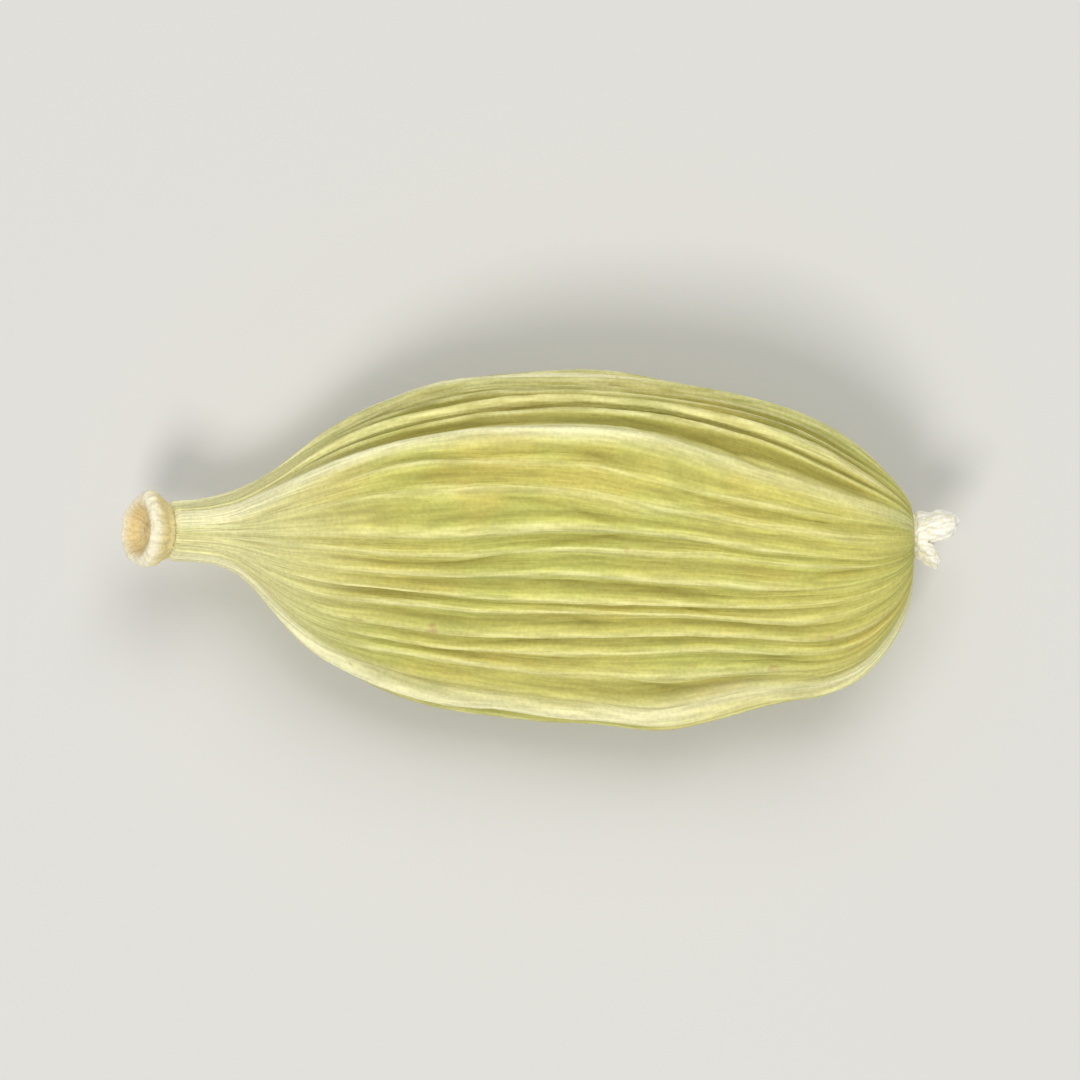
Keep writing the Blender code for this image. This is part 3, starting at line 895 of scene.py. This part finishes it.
def husk_skin(settings):
    """The husk's points, and what its material needs to know at each of them.

    The form is the solid's own. The fine relief is added along the normals, and fades
    on the flat spot and at both ends."""
    station = even_stations(HUSK_ROWS)
    rib_lines = rib_angles(station, settings.rib_jitter)
    angle = between_ribs(rib_lines, TURN)
    lip = np.clip((station - HUSK_START) / LIP, 0.0, 1.0)
    level = 1.0 - rest_spot(station, angle)
    size = half_width(station, angle, lip)
    rises = between_ribs(rib_rises(station, settings.rib_rise))
    ribs = rises * (rib_crests() - 0.5) * lip * level
    keels = keel_ridges(station, angle, rib_lines, size, settings.keel_rise) * lip * level
    radius = size * section_shape(station, angle) + ribs + keels
    radius = radius + edge_wave(station, angle) + swelling(station, angle) * level
    points = on_sections(station, angle, radius)

    turn = TURN * np.arange(angle.shape[1]) / angle.shape[1]
    skin = on_cylinder(turn, SKIN_RADIUS, station / MM)
    lines = pale_lines(station)
    fine = fine_relief(station, skin, settings) + LINE_RISE * lines
    fine = fine * smooth_span(station, *RELIEF_SPAN) * level
    points = points + outward(points) * fine[..., None]
    points[..., 2] = np.maximum(points[..., 2], 0.0)

    # From the relief: a painted highlight on crests and painted shade in hollows
    crest, hollow = crest_highlight_and_hollow_shade(ribs + fine + np.minimum(keels, 0.0), lines)
    # Pale keels and neck, with a painted highlight along the far rim
    pale = paleness(station, angle, rib_lines, size)
    return points, {"skin": skin, "crest": crest, "hollow": hollow, "pale": pale}


def husk_material(settings):
    """The skin of a green cardamom husk, which shrank onto its ribs as the pod was dried
    in warm air."""
    # Papery and matt, pale green turning straw, cream along veins and keels. Raised crests are
    # painted lighter as a painted highlight, grooves darker as painted shade, and the far rim
    # gets a painted highlight. Cells are about 0.03 mm and their fibres 0.02 mm, both drawn
    # three times as coarse to show.
    patterns = (
        ("fibres", "skin", (0.15, 0.15, 2.0), 4.0),
        ("threads", "skin", (0.07, 0.07, 0.9), 2.0),
        ("grain", "piece", (0.09, 0.09, 0.09), 3.0),
        ("areas", "skin", (3.0, 3.0, 4.0), 2.0),
        ("tints", "skin", (1.5, 1.5, 2.4), 3.0),
        ("blots", "skin", (0.4, 0.4, 0.6), 3.0),
    )
    layers = (
        "face",
        ("green", "", "areas", 0.4, 0.65, 0.0, 0.8),
        ("yellow", "", "tints", 0.5, 0.7, 0.0, 0.6),
        # Painted shade: the groove colour where the skin lies below its surroundings
        ("groove", "hollow", "fibres", 0.2, 0.8, 0.6, 0.95),
        # Crests: partly the pale veins, partly a painted highlight where the skin stands higher
        ("crest", "crest", "threads", 0.3, 0.7, 0.4, 0.85),
        # Pale keels and neck, and the painted highlight along the far rim
        ("keel", "pale", "fibres", 0.2, 0.6, 0.65, 1.0),
        ("stain", "", "blots", 0.66, 0.8, 0.0, 0.5),
    )
    shades = (
        ("fibres", 0.25, 0.75, 0.88, 1.1),
        ("threads", 0.3, 0.7, 0.88, 1.1),
        ("grain", 0.3, 0.7, 0.93, 1.06),
    )
    relief = (("fibres", 0.6), ("threads", 0.5), ("grain", 0.25))
    finish = {
        "depth": 0.05 * MM,
        "roughness": ("fibres", 0.2, 0.8, 0.88, 0.7),
        "ior": 1.45,
        "glow": 0.06,
        "glow_depth": 0.3 * MM,
    }
    name = "cardamom husk skin, dried in warm air"
    return dry_tissue(name, settings, patterns, layers, shades, relief, finish)


def stub_skin(settings):
    """The stub's points, and what its material needs to know at each of them.

    Its outline is carried round the centre line, with the collar out of round. Its
    fibres are ridges round the outside, its rim is torn, and the scar's floor is pitted
    round a small core."""
    outline = (*STUB_CORE, *STUB_OUTLINE[:-1], *STUB_ROOT)
    station, radius = smooth_path(outline, STUB_ROWS).T[:, :, None]
    angle = np.linspace(0.0, TURN, ROUND_COLUMNS, endpoint=False)
    three, five = COLLAR_WOBBLE
    wobble = three * np.sin(3.0 * angle + 0.5) + five * np.sin(5.0 * angle)
    collar = np.clip((radius - COLLAR_FROM) / COLLAR_FLARE, 0.0, 1.0)
    points = on_sections(station, angle, radius * (1.0 + collar * wobble))

    run = np.linspace(0.0, 1.0, STUB_ROWS)[:, None]
    inside = 1.0 - smooth_step(run, *SCAR_ENDS)
    outside = smooth_span(run, *STALK_SPAN)
    spun = on_cylinder(angle, 1.0, ROUND_STUB_LENGTH * run)
    ridges = 1.0 - 2.2 * np.abs(soft_noise(spun, *STALK_RIDGES))
    lumps = soft_noise(spun, *STALK_LUMPS) * (1.0 - smooth_step(run, *STALK_ENDS))
    rays = 1.0 - 2.0 * np.abs(soft_noise(spun, *SCAR_RAYS))
    pits = 0.5 * rays + 0.5 * soft_noise(points, *SCAR_PITS)
    fine = ridges * outside + lumps * (1.0 - inside)
    fine = fine + 0.9 * pits * (0.25 * outside + inside * smooth_step(run, *PITS_BEGIN))
    points = points + settings.fibre_rise * outward(points) * fine[..., None]

    marks = {
        "skin": on_cylinder(angle, STUB_SKIN_RADIUS, STUB_SKIN_LENGTH * run),
        "rim": np.broadcast_to(smooth_span(run, *RIM_SPAN), fine.shape),
        # The scar's tan, laid on more where its floor sinks: painted shade in the pits
        "deep": inside * np.clip(0.75 - 0.6 * pits, 0.35, 1.0),
    }
    return points, marks


def stalk_material(settings):
    """The stalk of a cardamom pod, dried and then torn off its stem."""
    # Straw-coloured and fibrous, with a bleached rim round a tan scar, painted darker in its
    # deeper pits as painted shade. Fibres are about 0.03 mm thick, drawn twice as coarse to show.
    patterns = (
        ("fibres", "skin", (0.06, 0.06, 0.7), 3.0),
        ("grain", "piece", (0.05, 0.05, 0.05), 3.0),
    )
    layers = (
        "stalk",
        ("rim", "rim", "grain", 0.2, 0.5, 0.7, 1.0),
        # The scar's tan, with painted shade in its deeper pits
        ("hollow", "deep", "grain", 0.2, 0.7, 0.8, 1.0),
    )
    shades = (("fibres", 0.25, 0.75, 0.86, 1.08), ("grain", 0.3, 0.7, 0.92, 1.06))
    relief = (("fibres", 0.6), ("grain", 0.4))
    finish = {
        "depth": 0.03 * MM,
        "roughness": ("fibres", 0.2, 0.8, 0.9, 0.7),
        "ior": 1.5,
        "glow": 0.1,
        "glow_depth": 0.2 * MM,
    }
    name = "cardamom stalk, dried and torn"
    return dry_tissue(name, settings, patterns, layers, shades, relief, finish)


def lobe_grid(length, half, lean, way):
    """A blunt, slightly flattened lobe that starts inside the ring and leans out. It
    thins to its tip as the root of 1 less a power of the way along, and folds that run
    along it and twist a little draw its section in."""
    even = np.linspace(0.0, 1.0, LOBE_ROWS)[:, None]
    along = (1.0 + LOBE_ROOT) * np.sin(even * math.pi / 2.0) - LOBE_ROOT
    angle = np.linspace(0.0, TURN, LOBE_COLUMNS, endpoint=False)
    bluntness = 1.01 - np.clip(along, 0.0, 1.0) ** LOBE_ROUND
    twist = 1.3 * along + 5.0 * way + 0.8 * np.sin(angle)
    fold = bell(np.sin(0.5 * LOBE_FOLDS * angle + twist), LOBE_FOLD_WIDTH)
    half = half * (1.08 - LOBE_FOLD_DEPTH * fold)
    out = LOBE_OFFSET + along * length * math.sin(lean)
    out = out + LOBE_SECTION[0] * half * np.sqrt(bluntness) * np.cos(angle)
    aside = LOBE_SECTION[1] * half * np.sqrt(bluntness) * np.sin(angle)
    station = HUSK_END + SEAT_GAP + LOBE_LIFT + along * length * math.cos(lean)
    y = out * math.cos(way) - aside * math.sin(way)
    z = out * math.sin(way) + aside * math.cos(way)
    return on_sections(station, np.arctan2(z, y), np.hypot(y, z))


def ring_grid():
    """The flower's low ring on the husk's tip, its edge drawn in by small folds."""
    height, radius = smooth_path(RING_OUTLINE, RING_ROWS).T[:, :, None]
    angle = np.linspace(0.0, TURN, ROUND_COLUMNS, endpoint=False)
    edge = np.sin(9.0 * angle + 2.0 * np.sin(angle)) * smooth_step(height, 0.0, 0.4)
    station = HUSK_END + (RING_HEIGHT + SEAT_GAP) * height
    return on_sections(station, angle, RING_RADIUS * radius * (1.0 + 0.05 * edge))


def melted_mesh(grids):
    """One mesh of closed surfaces that overlap: a voxel remesh melts them together, and
    smoothing takes its steps away."""
    vertices, faces, start = [], [], 0
    for points, quads, fans in map(closed_surface, grids):
        vertices += points.tolist()
        faces += (quads + start).tolist() + (fans + start).tolist()
        start += len(points)
    rough = bpy.data.meshes.new("flower parts")
    rough.from_pydata(vertices, [], faces)
    holder = bpy.data.objects.new("flower parts", rough)
    bpy.context.scene.collection.objects.link(holder)
    melt = holder.modifiers.new("melt", "REMESH")
    melt.mode = "VOXEL"
    melt.voxel_size = FLOWER_VOXEL
    relax = holder.modifiers.new("relax", "SMOOTH")
    relax.factor, relax.iterations = FLOWER_RELAX
    view = bpy.context.evaluated_depsgraph_get()
    mesh = bpy.data.meshes.new_from_object(holder.evaluated_get(view))
    bpy.data.objects.remove(holder)
    bpy.data.meshes.remove(rough)
    return mesh


def flower_mesh(settings):
    """The ring and lobes as one skin, folded and crumpled along its normals by noise,
    whose sharp folds lie where it changes sign."""
    mesh = melted_mesh([ring_grid(), *(lobe_grid(*lobe) for lobe in LOBES)])
    points = np.empty((len(mesh.vertices), 3), np.float32)
    mesh.vertices.foreach_get("co", points.ravel())
    normals = np.empty_like(points)
    mesh.vertex_normals.foreach_get("vector", normals.ravel())
    rise = np.abs(soft_noise(points, *PETAL_FOLDS))
    rise = rise + 0.25 * np.abs(soft_noise(points, *PETAL_CRUMPLES))
    lumps = soft_noise(points, *PETAL_LUMPS) + 0.5 * soft_noise(points, *SMALL_PETAL_LUMPS)
    amount = np.clip(rise, 0.0, PETAL_RISE) - 0.5 * PETAL_RISE + 0.9 * lumps
    amount = settings.fold_depth * amount
    points = points + normals * amount[:, None]
    mesh.vertices.foreach_set("co", points.astype(np.float32).ravel())
    # The fold mark is where the skin sinks into a fold; its cream is painted shade
    add_mark(mesh, "fold", np.clip(1.0 - rise / FOLD_REACH, 0.0, 1.0))
    mesh.update()
    mesh.shade_smooth()
    return mesh


def petal_material(settings):
    """The flower that stayed on the pod's tip and withered there."""
    # Near-white and papery, a little see-through, with cream in random patches and cream
    # painted into the bottoms of its crumpled folds as painted shade. Its cells are about
    # 0.03 mm, drawn twice as coarse to show.
    patterns = (
        ("grain", "piece", (0.06, 0.06, 0.06), 3.0),
        ("areas", "piece", (0.3, 0.3, 0.3), 2.0),
    )
    layers = (
        "petal",
        ("fold", "", "areas", 0.5, 0.7, 0.0, 0.2),
        # Random cream patches, then painted shade: cream where the skin sinks into a fold
        ("fold", "fold", "areas", 0.2, 0.6, 0.4, 0.65),
    )
    shades = (("grain", 0.3, 0.7, 0.93, 1.04),)
    relief = (("grain", 1.0),)
    finish = {
        "depth": 0.015 * MM,
        "roughness": ("grain", 0.3, 0.7, 0.85, 0.7),
        "ior": 1.45,
        "glow": 0.2,
        "glow_depth": 0.15 * MM,
    }
    name = "cardamom flower, withered to paper"
    return dry_tissue(name, settings, patterns, layers, shades, relief, finish)


def add_piece(name, mesh, material):
    """Links a finished mesh as a piece that stands in for the node of its name."""
    piece = bpy.data.objects.new("fine_" + name, mesh)
    mesh.materials.append(material)
    bpy.context.scene.collection.objects.link(piece)
    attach(piece, BODY)
    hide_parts(name)
    return piece


class AddHusk(bpy.types.Operator):
    """Adds the fine husk with its keels, ribs, veins and puckers"""

    bl_idname = "cardamom.add_husk"
    bl_label = "Add Husk"

    def execute(self, context):
        settings = context.scene.cardamom_husk
        mesh = closed_mesh("fine_husk", *husk_skin(settings))
        add_piece("husk", mesh, husk_material(settings))
        return {"FINISHED"}


class AddStalkStub(bpy.types.Operator):
    """Adds the fine stub of the stalk with its torn, hollow scar"""

    bl_idname = "cardamom.add_stalk_stub"
    bl_label = "Add Stalk Stub"

    def execute(self, context):
        settings = context.scene.cardamom_stalk
        mesh = closed_mesh("fine_stalk_stub", *stub_skin(settings))
        add_piece("stalk_stub", mesh, stalk_material(settings))
        return {"FINISHED"}


class AddFlowerRemnant(bpy.types.Operator):
    """Adds the dried remains of the flower on the tip"""

    bl_idname = "cardamom.add_flower_remnant"
    bl_label = "Add Flower Remnant"

    def execute(self, context):
        settings = context.scene.cardamom_flower
        add_piece("flower_remnant", flower_mesh(settings), petal_material(settings))
        return {"FINISHED"}


def plain_floor(settings):
    """A square floor, 60 cm a side, just under the flat spot that the pod rests on."""
    half = FLOOR_SIZE / 2.0
    corners = [(-half, -half, 0.0), (half, -half, 0.0), (half, half, 0.0), (-half, half, 0.0)]
    mesh = bpy.data.meshes.new("floor")
    mesh.from_pydata(corners, [], [(0, 1, 2, 3)])
    material, add = new_material("matt white card, coated")
    # Plain pale card without a sheen, so that only the pod's shadow is seen on it
    shader = add("BsdfPrincipled", {"Base Color": (*settings.floor, 1.0), "Roughness": 0.9})
    add("OutputMaterial", {"Surface": shader})
    mesh.materials.append(material)
    floor = bpy.data.objects.new("floor", mesh)
    bpy.context.scene.collection.objects.link(floor)


def add_lamp(name, place, size, power, colour):
    """A square soft light at a place, turned to the pod."""
    lamp = bpy.data.lights.new(name, "AREA")
    lamp.size = size
    lamp.energy = power
    lamp.color = colour
    holder = bpy.data.objects.new(name, lamp)
    holder.location = place
    holder.rotation_euler = (-Vector(place)).to_track_quat("-Z", "Y").to_euler()
    bpy.context.scene.collection.objects.link(holder)


def add_sky():
    """Even light from all around, a little cooler than the lamps."""
    world = bpy.data.worlds.new("studio")
    world.use_nodes = True
    sky = world.node_tree.nodes["Background"]
    sky.inputs["Color"].default_value = SKY_COLOUR
    sky.inputs["Strength"].default_value = SKY_STRENGTH
    bpy.context.scene.world = world


def add_camera(settings):
    """A long lens that looks along +Y and steeply down, as far off as the pod's share
    of the picture asks."""
    camera = bpy.data.cameras.new("camera")
    camera.lens = LENS
    camera.sensor_width = SENSOR
    low, high = (Vector(corner) for corner in CAD_BOX)
    distance = (high.x - low.x) / (settings.share / 100.0) * LENS / SENSOR
    back = Vector((0.0, -math.cos(settings.elevation), math.sin(settings.elevation)))
    camera.clip_start = NEAR_CLIP * distance
    camera.clip_end = FAR_CLIP * distance
    holder = bpy.data.objects.new("camera", camera)
    holder.location = (low + high) / 2.0 + back * distance
    holder.rotation_euler = (-back).to_track_quat("-Z", "Y").to_euler()
    bpy.context.scene.collection.objects.link(holder)
    bpy.context.scene.camera = holder


class AddStage(bpy.types.Operator):
    """Adds the floor, the soft studio light and the camera"""

    bl_idname = "cardamom.add_stage"
    bl_label = "Add Stage"

    def execute(self, context):
        settings = context.scene.cardamom_stage
        plain_floor(settings)
        for lamp in LAMPS:
            add_lamp(*lamp)
        add_sky()
        # Colours are shown as they are given, with no film look
        context.scene.view_settings.view_transform = "Standard"
        add_camera(settings)
        return {"FINISHED"}


class CardamomPanel(bpy.types.Panel):
    """Lists the settings and the pieces that can be added"""

    bl_idname = "VIEW3D_PT_cardamom"
    bl_label = "Cardamom Pod"
    bl_space_type = "VIEW_3D"
    bl_region_type = "UI"
    bl_category = "Cardamom"

    def draw(self, context):
        for name, kind, operator in GROUPS:
            box = self.layout.box()
            settings = getattr(context.scene, name)
            for value in kind.__annotations__:
                box.prop(settings, value)
            box.operator(operator.bl_idname)


GROUPS = (
    ("cardamom_husk", HuskSettings, AddHusk),
    ("cardamom_stalk", StalkSettings, AddStalkStub),
    ("cardamom_flower", FlowerSettings, AddFlowerRemnant),
    ("cardamom_stage", StageSettings, AddStage),
)


def register():
    for name, kind, operator in GROUPS:
        bpy.utils.register_class(kind)
        bpy.utils.register_class(operator)
        setattr(bpy.types.Scene, name, PointerProperty(type=kind))
    bpy.utils.register_class(CardamomPanel)


def unregister():
    bpy.utils.unregister_class(CardamomPanel)
    for name, kind, operator in reversed(GROUPS):
        delattr(bpy.types.Scene, name)
        bpy.utils.unregister_class(operator)
        bpy.utils.unregister_class(kind)


def main():
    register()
    bpy.ops.cardamom.add_husk()
    bpy.ops.cardamom.add_stalk_stub()
    bpy.ops.cardamom.add_flower_remnant()
    bpy.ops.cardamom.add_stage()


if __name__ == "__main__":
    main()
